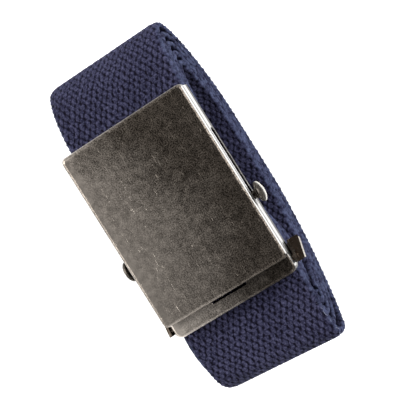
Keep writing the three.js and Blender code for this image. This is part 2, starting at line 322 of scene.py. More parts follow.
@dataclass(frozen=True)
class Weave:
    """A plain weave whose lengthwise yarns bulge over the crosswise ones.

    Each yarn shows as a row of oval beads, and the rows beside it are shifted by half a step.
    """

    pair: float = 3.35 * MM  # length in which a yarn goes over and under once
    pitch: float = 1.005 * MM  # width of one lengthwise yarn
    # How far the beads stray along a yarn, in steps, and the scale of that noise.
    sway: tuple[float, float] = (0.75, 330.0)
    # How far they stray across, in pairs of yarns, and the scale of that noise.
    drift: tuple[float, float] = (0.65, 410.0)
    bead: tuple[float, float] = (2.55, 2.45)  # how many of a bead's radii make a step, along and across

    def height(self, graph: Graph, along: Sock, girth: Sock, pair: Operand, pitch: Operand) -> Sock:
        """How high the yarns stand.

        Args:
            graph: the graph that it is added to.
            along: place along the strap.
            girth: place round the strap's section.
            pair: length in which a yarn goes over and under once.
            pitch: width of one lengthwise yarn.

        Returns:
            0 in the pits between beads and 1 on the crown of a bead.
        """
        swing, sway_scale = self.sway
        slip, drift_scale = self.drift
        sway = graph.noise(graph.vector(along, girth), sway_scale, 2.0) - 0.5
        drift = graph.noise(graph.vector(along, girth, 0.5), drift_scale, 2.0) - 0.5
        step = along / pair + sway * swing
        lane = girth / (pitch * 2.0) + drift * slip
        long, wide = self.bead
        far = []
        for shift in (0.0, 0.5):
            off_step = step + shift - (step + (shift + 0.5)).floor()
            off_lane = lane + shift - (lane + (shift + 0.5)).floor()
            far.append((off_step * long) ** 2.0 + (off_lane * wide) ** 2.0)
        return (1.0 - far[0].at_most(far[1])).at_least(0.0) ** 0.5


@dataclass(frozen=True)
class Finish:
    """What every finish has."""

    name: str

    def inputs(self, graph: Graph) -> Inputs:
        """The inputs of the Principled shader, which each finish works out in its own way."""
        raise NotImplementedError

    def build(self) -> bpy.types.Material:
        """Makes the material.

        Returns:
            The material.
        """
        material = bpy.data.materials.new(self.name)
        material.use_nodes = True
        graph = Graph(material.node_tree)
        shader = graph.add("ShaderNodeBsdfPrincipled", values=self.inputs(graph))
        graph.add("ShaderNodeOutputMaterial", values={"Surface": graph.out(shader)})
        return material


@dataclass(frozen=True)
class WebbingFinish(Finish):
    """Dyed cotton webbing in plain weave."""

    crown: Colour = linear(18, 18, 34)
    worn: Colour = linear(61, 61, 83)  # its faded fibres
    pit_shade: Colour = linear(4, 3, 13)  # painted shade in the pits between the yarns
    edge: Colour = linear(59, 65, 87)  # the selvedge: faded, and lighter with a painted highlight where light falls on the edges
    # How much of the fading follows the knots and how much the fray.
    faded: tuple[float, float] = (0.30, 0.60)
    broken: float = 1.3  # how far the fray breaks up the outlines of the pits
    closed: float = 0.15  # how much the selvedge closes the pits and their painted shade
    turned: float = 0.6  # how much of that faded and painted lit colour the selvedge shows
    cloud_scale: float = 55.0
    knot_scale: float = 620.0
    fray_scale: float = 1350.0
    fuzz_scale: float = 9000.0
    strand_scale: Three = (1500.0, 7000.0, 1.0)
    # The shares of the beads, fray, strands and fuzz in the relief.
    relief: Four = (0.75, 0.30, 0.12, 0.10)
    depth: float = 0.30 * MM  # how deep the relief is
    shine: float = 0.05
    sheen: float = 0.16
    sheen_rough: float = 0.22
    sheen_tint: Colour = linear(120, 128, 190)
    weave: Weave = Weave()

    def inputs(self, graph: Graph) -> Inputs:
        """Works out the shader's inputs, from the strap's own map and the attribute selvedge.

        Args:
            graph: the material's graph.

        Returns:
            The inputs.
        """
        chart = graph.out(graph.add("ShaderNodeUVMap", {"uv_map": "weave"}))
        along, girth, _ = graph.axes(chart)
        height = self.weave.height(graph, along, girth, self.weave.pair, self.weave.pitch)
        selvedge = graph.mark("selvedge")
        cloud = graph.noise(chart, self.cloud_scale, 3.0)
        knots = graph.noise(chart, self.knot_scale, 2.0, 0.7)
        strands = graph.noise(graph.scaled(chart, self.strand_scale), 1.0, 2.0, 0.6)
        fuzz = graph.noise(chart, self.fuzz_scale, 2.0, 0.6)
        fray = graph.noise(chart, self.fray_scale, 3.0, 0.85)
        by_knots, by_fray = self.faded
        pale = (knots * 0.6 + cloud * 0.4).ramp(0.40, 0.66) * by_knots
        pale = pale + fray.ramp(0.42, 0.62) * by_fray
        yarn = graph.blend(pale, self.crown, self.worn)
        # painted shade: the pits between the yarns are darkened
        open_weave = height + (fray - 0.5) * self.broken + selvedge * self.closed
        colour = graph.blend(open_weave.ramp(0.14, 1.0), self.pit_shade, yarn)
        # painted highlight with some fading: the selvedge is lighter, as where light falls on the edges
        edge = graph.blend((knots * 0.7 + fuzz * 0.3).ramp(0.40, 0.60), self.crown, self.edge)
        colour = graph.blend(selvedge.ramp(0.1, 0.8) * self.turned, colour, edge)
        of_beads, of_fray, of_strands, of_fuzz = self.relief
        relief = height * of_beads + fray * of_fray + strands * of_strands + fuzz * of_fuzz
        return {
            "Base Color": colour,
            "Roughness": fuzz.ramp(0.3, 0.7, 0.82, 0.96),
            "Specular IOR Level": self.shine,
            "Sheen Weight": self.sheen,
            "Sheen Roughness": self.sheen_rough,
            "Sheen Tint": self.sheen_tint,
            "Normal": graph.bump(relief, self.depth, 0.9),
        }


@dataclass(frozen=True)
class MetalFinish(Finish):
    """Antiqued plating: cloudy dark patches, fine speckle, short scratches and worn edges, with painted
    light: a tone that lightens toward -Y, painted highlights on the -Y bend, the +Y walls and the
    edges, and painted dark lines of shade and reflection.
    """

    dark: Colour = linear(60, 55, 50)  # the shaded end of the tone: painted shade, toward +Y
    light: Colour = linear(142, 135, 128)  # the lit end of the tone: painted light, toward -Y
    bared_and_highlight: Colour = linear(176, 169, 160)  # bared metal of scratches, and of edges with wear and a painted highlight
    wall: Colour = linear(205, 203, 200)  # painted highlight of the +Y walls, in bright metal
    # The darkest and the lightest speckle, as factors.
    spots: tuple[Colour, Colour] = ((0.16, 0.14, 0.12, 1.0), (2.7, 2.7, 2.7, 1.0))
    speckle: float = 0.90  # how much of the speckle shows
    scored: float = 0.10  # how much the scratches show
    cloud_scale: float = 75.0
    patch_scale: float = 525.0
    grain_scale: float = 2700.0
    line_scale: Three = (220.0, 5200.0, 220.0)
    cross_scale: Three = (4600.0, 260.0, 260.0)
    slope: tuple[float, float] = (2.0, -22.0)  # rise of the painted light along X and Y, to a metre
    level: float = 0.30  # the painted light at the origin
    cloud_share: float = 0.5  # how much the broad patches change it
    patch_share: float = 0.10  # how much the small ones do
    # Where the painted highlight across the face is highest in X, how narrow that is, to a metre, and
    # how high.
    light_hump: Three = (3.0 * MM, 50.0, 0.10)
    # Where in Y the painted highlight along the -Y bend begins and is full, and how light it is.
    bend_highlight: Three = (-16.5 * MM, -19.6 * MM, 0.22)
    rim: Three = (-19.7 * MM, -20.2 * MM, 0.75)  # the same for the painted shade, a dark line outside it
    wall_from: float = 20.65 * MM  # the place in Y from which a wall shows the painted highlight
    # The heights at which that begins and is full.
    wall_level: tuple[float, float] = (45.3 * MM, 45.7 * MM)
    # The parts of X and Z of a slanted line, and where beside it the painted highlight lies.
    wall_line: Four = (0.0, 0.0, -1.0, -0.9)
    # The heights between which a painted dark line of reflection runs along the wall.
    dark_reflection_heights: tuple[float, float] = (46.7 * MM, 47.6 * MM)
    dark_reflection: float = 0.85  # how dark that painted line is
    rub_and_highlight_share: float = 0.55  # how much of it the edges show: wear and a painted highlight
    rough: tuple[float, float] = (0.30, 0.42)  # the least and the most roughness
    depth: float = 0.04 * MM  # how deep the relief is
    # The shares of the grain, the patches and the scratches in the relief.
    relief: Three = (0.35, 0.35, 0.5)
    glance: Colour = WHITE  # the tint at grazing angles
    turn: float = 0.3  # the way that the scratches run, in radians

    def mottle_and_light(self, graph: Graph, place: Sock, cloud: Sock, patch: Sock) -> Sock:
        """How light the plating is: random patches, with painted light that grows toward -Y, a painted
        highlight hump, and a painted highlight and shade on the -Y bend.

        Args:
            graph: the material's graph.
            place: where it is read.
            cloud: the broad patches.
            patch: the small patches.

        Returns:
            0 where it is dark and 1 where it is light.
        """
        x, y, _ = graph.axes(place)
        middle, narrow, height = self.light_hump
        light_hump = (1.0 - ((x - middle) * narrow) ** 2.0).at_least(-1.0) * height
        by_x, by_y = self.slope
        across = y * by_y + x * by_x + light_hump + self.level + (cloud - 0.5) * self.cloud_share
        highlight_from, highlight_to, lighter = self.bend_highlight
        shade_from, shade_to, darker = self.rim
        # painted highlight on the -Y bend, with painted shade at its outer edge
        edge = y.ramp(highlight_from, highlight_to) * lighter - y.ramp(shade_from, shade_to) * darker
        mottled = across.ramp(0.0, 1.0) + edge + (patch - 0.5) * self.patch_share
        return mottled.at_least(0.0).at_most(1.0)

    def lit_wall(self, graph: Graph, place: Sock) -> Sock:
        """Where the +Y wall shows the painted highlight.

        Args:
            graph: the material's graph.
            place: where it is read.

        Returns:
            The share of the painted highlight, from 0 to 1.
        """
        x, y, z = graph.axes(place)
        lean, rise, outside, inside = self.wall_line
        lit = y.ramp(self.wall_from, self.wall_from + 0.25 * MM) * z.ramp(*self.wall_level)
        lit = lit * (x * lean + z * rise).ramp(outside, inside)
        under, over = self.dark_reflection_heights
        soft = 0.1 * MM
        # painted reflection: a dark line across the painted wall highlight
        dark_reflection = z.ramp(under - soft, under + soft) * z.ramp(over + soft, over - soft)
        return lit * (1.0 - dark_reflection * self.dark_reflection)

    def inputs(self, graph: Graph) -> Inputs:
        """Works out the shader's inputs, from Object coordinates and the attribute that marks the
        crowns of rounded edges.

        Args:
            graph: the material's graph.

        Returns:
            The inputs.
        """
        place = graph.coordinates()
        cloud = graph.noise(place, self.cloud_scale, 3.0, 0.6)
        patch = graph.noise(place, self.patch_scale, 4.0, 0.7)
        grain = graph.noise(place, self.grain_scale, 2.0, 0.8)
        lines = graph.noise(graph.scaled(place, self.line_scale, self.turn), 1.0, 2.0, 0.5)
        cross = graph.noise(graph.scaled(place, self.cross_scale, -self.turn * 1.7), 1.0, 2.0, 0.5)
        # painted light: the plating's colour is lit toward -Y and shaded toward +Y
        mottle_and_light = self.mottle_and_light(graph, place, cloud, patch)
        base = graph.blend(mottle_and_light, self.dark, self.light)
        dots = graph.blend((grain * 0.85 + patch * 0.15).ramp(0.36, 0.66), *self.spots)
        spotted = graph.blend(self.speckle * (1.0 - mottle_and_light * 0.97), base, dots, "MULTIPLY")
        scratch = (lines.ramp(0.66, 0.76) + cross.ramp(0.68, 0.78)).at_most(1.0)
        scored = graph.blend(scratch * self.scored, spotted, self.bared_and_highlight)
        # the crowns of rounded edges: worn metal and a painted highlight
        rub_and_highlight = (graph.mark("edge_crown") * (0.4 + patch * 0.8)).ramp(0.25, 0.95)
        worn = graph.blend(rub_and_highlight * self.rub_and_highlight_share, scored, self.bared_and_highlight)
        of_grain, of_patches, of_scratches = self.relief
        relief = grain * of_grain + patch * of_patches - scratch * of_scratches
        return {
            # painted highlight on the +Y walls
            "Base Color": graph.blend(self.lit_wall(graph, place), worn, self.wall),
            "Metallic": 1.0,
            "Specular Tint": self.glance,
            "Roughness": (patch * 0.6 + grain * 0.4).ramp(0.3, 0.7, *self.rough),
            "Normal": graph.bump(relief, self.depth, 0.6),
        }


@dataclass(frozen=True)
class ThreadFinish(Finish):
    """Pale loose cotton ends."""

    pale: Colour = linear(118, 121, 140)
    dyed: Colour = linear(60, 64, 86)
    fleck_scale: float = 900.0
    fibre_scale: float = 9000.0
    sheen: float = 0.3

    def inputs(self, graph: Graph) -> Inputs:
        """Works out the shader's inputs, from Object coordinates.

        Args:
            graph: the material's graph.

        Returns:
            The inputs.
        """
        place = graph.coordinates()
        fleck = graph.noise(place, self.fleck_scale, 2.0)
        fibre = graph.noise(place, self.fibre_scale, 2.0)
        return {
            "Base Color": graph.blend(fleck.ramp(0.35, 0.6), self.dyed, self.pale),
            "Roughness": fibre.ramp(0.3, 0.7, 0.8, 0.95),
            "Sheen Weight": self.sheen,
            "Normal": graph.bump(fibre, 0.03 * MM, 0.6),
        }


@dataclass(frozen=True)
class FloorFinish(Finish):
    """A plain pale studio floor."""

    pale: Colour = (0.90, 0.90, 0.90, 1.0)
    paler: Colour = (0.93, 0.93, 0.93, 1.0)
    shine: float = 0.1

    def inputs(self, graph: Graph) -> Inputs:
        """Works out the shader's inputs, from Object coordinates.

        Args:
            graph: the material's graph.

        Returns:
            The inputs.
        """
        soft = graph.noise(graph.coordinates(), 3.0, 2.0)
        return {
            "Base Color": graph.blend(soft, self.pale, self.paler),
            "Roughness": soft.ramp(0.3, 0.7, 0.85, 0.95),
            "Specular IOR Level": self.shine,
        }


def new_object(name: str, data: bpy.types.ID) -> bpy.types.Object:
    """Puts an object at the origin, in the scene.

    Args:
        name: the object's name.
        data: its mesh, camera or light.

    Returns:
        The object.
    """
    made = bpy.data.objects.new(name, data)
    bpy.context.scene.collection.objects.link(made)
    return made


def mesh_of(
    name: str, points: Iterable[Sequence[float]], faces: Iterable[Sequence[int]]
) -> bpy.types.Mesh:
    """A mesh with every face outward.

    Args:
        name: the mesh's name.
        points: its vertices.
        faces: vertex numbers of each face.

    Returns:
        The mesh.
    """
    mesh = bpy.data.meshes.new(name)
    mesh.from_pydata([tuple(p) for p in points], [], [tuple(f) for f in faces])
    tidy = bmesh.new()
    tidy.from_mesh(mesh)
    bmesh.ops.recalc_face_normals(tidy, faces=tidy.faces)
    tidy.to_mesh(mesh)
    tidy.free()
    return mesh


def arc(steps: int, start: float = 0.0, turn: float = QUARTER) -> list[tuple[float, float]]:
    """Cosines and sines at even steps of an arc, both ends included."""
    angles = [start + turn * step / steps for step in range(steps + 1)]
    return [(math.cos(angle), math.sin(angle)) for angle in angles]


def settled(piece: bpy.types.Object) -> None:
    """Takes a piece's modifiers into its mesh and removes them.

    Args:
        piece: the piece.
    """
    bpy.context.view_layer.update()
    graph = bpy.context.evaluated_depsgraph_get()
    mesh = bpy.data.meshes.new_from_object(
        piece.evaluated_get(graph), preserve_all_data_layers=True, depsgraph=graph
    )
    piece.modifiers.clear()
    old = piece.data
    piece.data = mesh
    mesh.name = piece.name
    bpy.data.meshes.remove(old)


class ShapeTree(Graph):
    """A Geometry Nodes tree with named inputs, ending in real geometry with one material."""

    def __init__(self, name: str, kinds: dict[str, str]) -> None:
        """Starts the tree.

        Args:
            name: the tree's name.
            kinds: for each named input its kind, Float or Int.
        """
        super().__init__(bpy.data.node_groups.new(name, "GeometryNodeTree"))
        sockets = self.tree.interface
        sockets.new_socket(name="Geometry", in_out="INPUT", socket_type="NodeSocketGeometry")
        self.identifiers: dict[str, str] = {}
        for label, kind in kinds.items():
            made = sockets.new_socket(name=label, in_out="INPUT", socket_type=f"NodeSocket{kind}")
            self.identifiers[label] = made.identifier
        sockets.new_socket(name="Geometry", in_out="OUTPUT", socket_type="NodeSocketGeometry")
        self.inputs = self.add("NodeGroupInput")

    def given(self, label: str) -> Sock:
        """One of the tree's inputs."""
        return self.out(self.inputs, label)

    def read(self, label: str, kind: str = "FLOAT") -> Sock:
        """One of the mesh's attributes, in this tree."""
        node = self.add("GeometryNodeInputNamedAttribute", {"data_type": kind}, {"Name": label})
        return self.out(node)

    def close(self, shape: Sock, material: bpy.types.Material) -> None:
        """Ends the tree.

        Args:
            shape: the geometry that it makes.
            material: the geometry's material.
        """
        real = self.add("GeometryNodeRealizeInstances", values={"Geometry": shape})
        values = {"Geometry": self.out(real), "Material": material}
        dressed = self.add("GeometryNodeSetMaterial", values=values)
        self.add("NodeGroupOutput", values={0: self.out(dressed)})

    def apply(self, piece: bpy.types.Object, values: dict[str, Union[float, int]]) -> None:
        """Runs the tree on a piece and keeps the result as its mesh.

        Args:
            piece: the piece.
            values: a value for each named input.
        """
        modifier = piece.modifiers.new(self.tree.name, "NODES")
        modifier.node_group = self.tree
        for label, value in values.items():
            modifier[self.identifiers[label]] = value
        settled(piece)


def attach(piece: bpy.types.Object, body: Body, node: Optional[Node] = None) -> None:
    """Ties a piece to the frame.

    Args:
        piece: the finished piece.
        body: the body that it rides on.
        node: the node that it stands for.
    """
    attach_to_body(piece, body.value)
    if node is not None:
        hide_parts(node.value)
    log.info("%s: %d faces", piece.name, len(piece.data.polygons))


def smooth_between(at: np.ndarray, known: np.ndarray, values: np.ndarray) -> np.ndarray:
    """Reads a table on a curve that runs through each of its rows.

    Args:
        at: places to read.
        known: the rows' places, rising.
        values: the rows.

    Returns:
        One row for each place.
    """
    slope = np.gradient(values, known, axis=0)
    row = np.clip(np.searchsorted(known, at, side="right") - 1, 0, len(known) - 2)
    span = (known[row + 1] - known[row])[:, None]
    t = ((at - known[row])[:, None]) / span
    return (
        values[row] * (2 * t**3 - 3 * t**2 + 1)
        + slope[row] * span * (t**3 - 2 * t**2 + t)
        + values[row + 1] * (3 * t**2 - 2 * t**3)
        + slope[row + 1] * span * (t**3 - t**2)
    )


class StrapRoute:
    """The strap's centre line and width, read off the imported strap."""

    def __init__(self, source: bpy.types.Object) -> None:
        """Reads the strap.

        Args:
            source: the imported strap, which is left alone.
        """
        merged = bmesh.new()
        merged.from_mesh(source.data)
        bmesh.ops.remove_doubles(merged, verts=merged.verts, dist=0.002 * MM)
        bmesh.ops.triangulate(merged, faces=merged.faces)
        merged.verts.index_update()
        points = np.array([v.co[:] for v in merged.verts])
        triangles = np.array([[v.index for v in f.verts] for f in merged.faces])
        merged.free()
        upper = self._edge_strip(points, triangles[(points[triangles][:, :, 1] > 0).all(1)])
        lower = self._edge_strip(points, triangles[(points[triangles][:, :, 1] < 0).all(1)])
        self.centre = (upper + lower) / 2
        self.across = upper - lower
        steps = np.linalg.norm(np.diff(self.centre, axis=0), axis=1)
        self.reach = np.concatenate([[0.0], np.cumsum(steps)])
        self.length = float(self.reach[-1])

    @staticmethod
    def _edge_strip(points: np.ndarray, triangles: np.ndarray) -> np.ndarray:
        """Walks one edge of the strap from end to end.

        Args:
            points: the strap's vertices.
            triangles: the triangles of that edge.

        Returns:
            The middle of the edge at each ring, from the strap's end under the buckle.
        """
        sharing: dict[frozenset[int], list[int]] = {}
        for number, corners in enumerate(triangles):
            for first in range(3):
                key = frozenset((int(corners[first]), int(corners[(first + 1) % 3])))
                sharing.setdefault(key, []).append(number)
        used = np.bincount(triangles.ravel(), minlength=len(points))
        tips = [k for k, found in sharing.items() if len(found) == 1 and sum(used[c] for c in k) == 3]
        start = max(tips, key=lambda k: float(points[list(k)][:, 2].mean()))
        edge, seen = tuple(start), set()
        middles = [points[list(start)].mean(axis=0)]
        while True:
            ahead = [n for n in sharing[frozenset(edge)] if n not in seen]
            if not ahead:
                return np.array(middles)
            seen.add(ahead[0])
            third = int(next(c for c in triangles[ahead[0]] if c not in edge))
            shared = [c for c in edge if len(sharing[frozenset((c, third))]) == 2]
            diagonal = (shared[0], third)
            other = [n for n in sharing[frozenset(diagonal)] if n not in seen]
            seen.add(other[0])
            last = int(next(c for c in triangles[other[0]] if c not in diagonal))
            edge = (third, last)
            middles.append(points[list(edge)].mean(axis=0))

    def at(self, reach: np.ndarray) -> tuple[np.ndarray, np.ndarray, np.ndarray]:
        """The strap at given distances from its end.

        Args:
            reach: distances along the centre line.

        Returns:
            The centres, the vectors across the whole width, and the unit normals out of the roll.
        """
        centre = smooth_between(reach, self.reach, self.centre)
        across = smooth_between(reach, self.reach, self.across)
        tangent = np.gradient(centre, reach, axis=0)
        normal = np.cross(tangent, across)
        return centre, across, normal / np.linalg.norm(normal, axis=1)[:, None]

    def under_buckle(self) -> float:
        """Finds where the first turn has come back under the buckle's middle.

        Returns:
            The distance along the centre line.
        """
        past_the_folds = self.reach > 150 * MM
        on_top = self.centre[:, 2] > 30 * MM
        at_the_middle = self.centre[:, 0] > -4 * MM
        return float(self.reach[np.argmax(past_the_folds & on_top & at_the_middle)])


@dataclass
class WovenStrap:
    """The webbing: a band along the route, with its weave as relief."""

    route: StrapRoute
    weave: Weave = Weave()
    body_half: float = 0.66 * MM  # half the band's thickness under its relief
    relief: float = 0.24 * MM  # how high the yarns bulge
    scallop: float = 0.22 * MM  # how far the selvedge's loops stand out
    # The shares of the yarns and of their height that the selvedge has.
    loop: tuple[float, float] = (0.5, 0.8)
    lanes: int = 38  # lengthwise yarns in its width
    edge_steps: int = 8
    fine_steps: int = 8  # lengthwise faces to a pair in the first turn
    plain_steps: int = 4  # and in the inner turns
    corner_pull: float = 0.6 * MM  # how far the selvedge corners are drawn in where the strap folds
    corner_reach: float = 2.8 * MM  # the width at each edge that is drawn in
    bend_radius: float = 16.0 * MM  # the bend that draws them in fully
    bend_spread: float = 9.0 * MM  # the length over which a bend is felt
    bend_step: float = 0.5 * MM

    @property
    def half(self) -> float:
        """Half the width of the lengthwise yarns."""
        return self.lanes * self.weave.pitch / 2

    def section(self, rows: tuple[int, int]) -> np.ndarray:
        """The band's section, from one edge over the outer face and back.

        Args:
            rows: rows of faces on the outer and the inner side.

        Returns:
            For each point: place across, place outward, the outward direction's two parts, and
            how much it belongs to the selvedge.
        """
        half, radius = self.half, self.body_half
        edge = arc(self.edge_steps, turn=math.pi)[1:-1]
        points = []
        for face, count in zip((1, -1), rows):
            for row in range(count + 1):
                points.append((face * half * (2 * row / count - 1), face * radius, 0, face, 0))
            for up, side in edge:
                across, outward = face * (half + radius * side), face * radius * up
                points.append((across, outward, face * side, face * up, side))
        return np.array(points)

    def folded(self, reach: np.ndarray) -> np.ndarray:
        """How tightly the strap is bent at given distances from its end.

        Args:
            reach: distances along the centre line.

        Returns:
            0 where it runs straight and 1 where it bends by bend_radius or less.
        """
        even = np.arange(0.0, self.route.length, self.bend_step)
        _, _, normal = self.route.at(even)
        bend = np.linalg.norm(np.gradient(normal, even, axis=0), axis=1)
        window = np.hanning(2 * round(self.bend_spread / self.bend_step) + 1)
        bend = np.convolve(np.pad(bend, len(window) // 2, "edge"), window / window.sum(), "valid")
        share = np.clip(np.interp(reach, even, bend) * self.bend_radius, 0.0, 1.0)
        return share * share * (3.0 - 2.0 * share)

    def band(self, reach: np.ndarray, ring: np.ndarray) -> tuple[np.ndarray, np.ndarray]:
        """The band's points before its relief.

        Args:
            reach: where its rings lie along the route.
            ring: the section.

        Returns:
            For each ring and point of the section, its place and its outward direction.
        """
        centre, across, normal = self.route.at(reach)
        width = np.linalg.norm(across, axis=1)[:, None]
        sideways = across / width
        stretched = sideways * (width / np.median(width))
        margin = self.half + self.body_half - self.corner_reach
        corner = np.clip((np.abs(ring[:, 0]) - margin) / self.corner_reach, 0.0, 1.0) ** 2
        pulled = self.folded(reach)[:, None] * corner[None, :] * self.corner_pull
        place = centre[:, None, :] + stretched[:, None, :] * ring[None, :, 0:1]
        place = place + normal[:, None, :] * (ring[None, :, 1:2] - pulled[:, :, None])
        outward = sideways[:, None, :] * ring[None, :, 2:3] + normal[:, None, :] * ring[None, :, 3:4]
        return place.reshape(-1, 3), outward.reshape(-1, 3)

    def grid(
        self, name: str, start: float, end: float, step: float, rows: tuple[int, int]
    ) -> bpy.types.Mesh:
        """One length of the band before its relief.

        Args:
            name: the mesh's name.
            start: where it begins along the route.
            end: where it ends.
            step: length of one face.
            rows: rows of faces on the outer and the inner side.

        Returns:
            The mesh, with its map and the attributes that the relief reads.
        """
        count = max(2, round((end - start) / step))
        reach = np.linspace(start, end, count + 1)
        ring = self.section(rows)
        size = len(ring)
        place, outward = self.band(reach, ring)
        gaps = np.linalg.norm(np.diff(np.vstack([ring, ring[:1]])[:, :2], axis=0), axis=1)
        girth = np.concatenate([[0.0], np.cumsum(gaps)]) - self.half
        side, row = np.tile(np.arange(size), count), np.repeat(np.arange(count), size)
        here, beside = row * size + side, row * size + (side + 1) % size
        quads = np.stack([here, here + size, beside + size, beside], axis=1)
        last = count * size
        caps = [list(range(size)), list(range(last, last + size))[::-1]]
        mesh = bpy.data.meshes.new(name)
        mesh.from_pydata(place.tolist(), [], quads.tolist() + caps)
        for label, values in (
            ("along", np.repeat(reach, size)),
            ("girth", np.tile(girth[:-1], count + 1)),
            ("selvedge", np.tile(ring[:, 4], count + 1)),
        ):
            layer = mesh.attributes.new(label, "FLOAT", "POINT")
            layer.data.foreach_set("value", values.astype(np.float32))
        layer = mesh.attributes.new("outward", "FLOAT_VECTOR", "POINT")
        layer.data.foreach_set("vector", outward.astype(np.float32).ravel())
        chart = np.zeros((len(quads), 4, 2))
        for corner, (ahead, over) in enumerate(((0, 0), (1, 0), (1, 1), (0, 1))):
            chart[:, corner, 0] = reach[row + ahead]
            chart[:, corner, 1] = girth[side + over]
        ends = np.concatenate([girth[:-1], girth[:-1][::-1]])
        tail = np.stack([np.repeat([start, end], size), ends], axis=1)
        chart = np.vstack([chart.reshape(-1, 2), tail])
        layer = mesh.uv_layers.new(name="weave")
        layer.uv.foreach_set("vector", chart.astype(np.float32).ravel())
        mesh.shade_smooth()
        return mesh

    def relief_tree(self, material: bpy.types.Material) -> ShapeTree:
        """The Geometry Nodes tree that raises the yarns.

        Args:
            material: the webbing's material.

        Returns:
            The tree.
        """
        labels = ("Pick Pair", "End Pitch", "Relief", "Scallop")
        tree = ShapeTree("weave_relief", dict.fromkeys(labels, "Float"))
        pair, pitch, relief, scallop = (tree.given(label) for label in labels)
        along, girth, selvedge = (tree.read(label) for label in ("along", "girth", "selvedge"))
        crown = self.weave.height(tree, along, girth, pair, pitch) * relief
        wave = 1.0 - ((along / pair) * (2.0 * math.pi)).sin().size()
        of_yarns, of_height = self.loop
        lobe = wave * scallop + crown * of_yarns + relief * of_height
        lift = crown * (1.0 - selvedge) + lobe * selvedge
        outward = {0: tree.read("outward", "FLOAT_VECTOR"), "Scale": lift}
        raised = tree.add("ShaderNodeVectorMath", {"operation": "SCALE"}, outward)
        values = {"Geometry": tree.given("Geometry"), "Offset": tree.out(raised)}
        moved = tree.add("GeometryNodeSetPosition", values=values)
        tree.close(tree.out(moved), material)
        return tree

    def build(self, material: bpy.types.Material) -> None:
        """Makes the strap in two lengths that meet under the buckle.

        Args:
            material: the webbing's material.
        """
        fine, plain = self.weave.pair / self.fine_steps, self.weave.pair / self.plain_steps
        meet = round(self.route.under_buckle() / fine) * fine
        lanes = self.lanes
        plan = (
            ("strap_first_turn", 0.0, meet, fine, (2 * lanes, lanes)),
            ("strap_inner_turns", meet, self.route.length, plain, (lanes, lanes)),
        )
        tree = self.relief_tree(material)
        values = {
            "Pick Pair": self.weave.pair,
            "End Pitch": self.weave.pitch,
            "Relief": self.relief,
            "Scallop": self.scallop,
        }
        for name, start, end, step, rows in plan:
            piece = new_object(name, self.grid(name, start, end, step, rows))
            tree.apply(piece, values)
            attach(piece, Body.BELT, Node.STRAP)


@dataclass
class LooseThreads:
    """Short ends of yarn that stand out of the selvedge beside the clamp."""

    route: StrapRoute
    start: float = 16 * MM
    end: float = 46 * MM
    edge: float = 0.497  # how far out they are rooted, as a share of the strap's width
    root: float = 0.45 * MM  # how far above the strap's middle they are rooted
    count: int = 16
    line_points: int = 24  # points of the line that they stand on
    length: float = 1.9 * MM
    radius: float = 0.055 * MM
    # The middle and the end of a thread, out and up, as shares of its length.
    bow: Four = (0.15, 0.6, 0.7, 0.85)
    # The least and the most turn about each axis.
    tilts: tuple[Three, Three] = ((-2.0, -0.6, -3.1), (-1.1, 0.6, 3.1))
    shortest: float = 0.35  # the shortest thread, as a share of the longest
    seed: int = 7

    def tree(self, material: bpy.types.Material) -> ShapeTree:
        """The Geometry Nodes tree that sets threads along a line.

        Args:
            material: the threads' material.

        Returns:
            The tree.
        """
        kinds = {"Count": "Int", "Length": "Float", "Radius": "Float", "Seed": "Int"}
        tree = ShapeTree("loose_threads", kinds)
        count, length, radius, seed = (tree.given(label) for label in kinds)
        middle_out, middle_up, end_out, end_up = self.bow
        line = tree.add("GeometryNodeMeshToCurve", values={"Mesh": tree.given("Geometry")})
        values = {"Curve": tree.out(line), "Count": count}
        places = tree.add("GeometryNodeCurveToPoints", {"mode": "COUNT"}, values)
        values = {
            "Resolution": 8,
            "Start": (0.0, 0.0, 0.0),
            "Middle": tree.vector(length * middle_out, 0.0, length * middle_up),
            "End": tree.vector(length * end_out, 0.0, length * end_up),
        }
        curl = tree.add("GeometryNodeCurveQuadraticBezier", values=values)
        values = {"Resolution": 6, "Radius": radius}
        outline = tree.add("GeometryNodeCurvePrimitiveCircle", values=values)
        values = {"Curve": tree.out(curl), "Profile Curve": tree.out(outline), "Fill Caps": True}
        thread = tree.add("GeometryNodeCurveToMesh", values=values)
        least, most = self.tilts
        values = {0: least, 1: most, "Seed": seed}
        turn = tree.add("FunctionNodeRandomValue", {"data_type": "FLOAT_VECTOR"}, values)
        values = {2: self.shortest, 3: 1.0, "Seed": seed}
        grow = tree.add("FunctionNodeRandomValue", {"data_type": "FLOAT"}, values)
        values = {
            "Points": tree.out(places),
            "Instance": tree.out(thread),
            "Rotation": tree.out(turn, 0),
            "Scale": tree.out(grow, 1),
        }
        set_out = tree.add("GeometryNodeInstanceOnPoints", values=values)
        tree.close(tree.out(set_out), material)
        return tree

    def build(self, material: bpy.types.Material) -> None:
        """Makes the threads as one piece.

        Args:
            material: the threads' material.
        """
        reach = np.linspace(self.start, self.end, self.line_points)
        centre, across, normal = self.route.at(reach)
        line = centre + across * self.edge + normal * self.root
        mesh = bpy.data.meshes.new("loose_threads")
        mesh.from_pydata(line.tolist(), [(i, i + 1) for i in range(len(line) - 1)], [])
        piece = new_object("loose_threads", mesh)
        values = {
            "Count": self.count,
            "Length": self.length,
            "Radius": self.radius,
            "Seed": self.seed,
        }
        self.tree(material).apply(piece, values)
        attach(piece, Body.BELT)


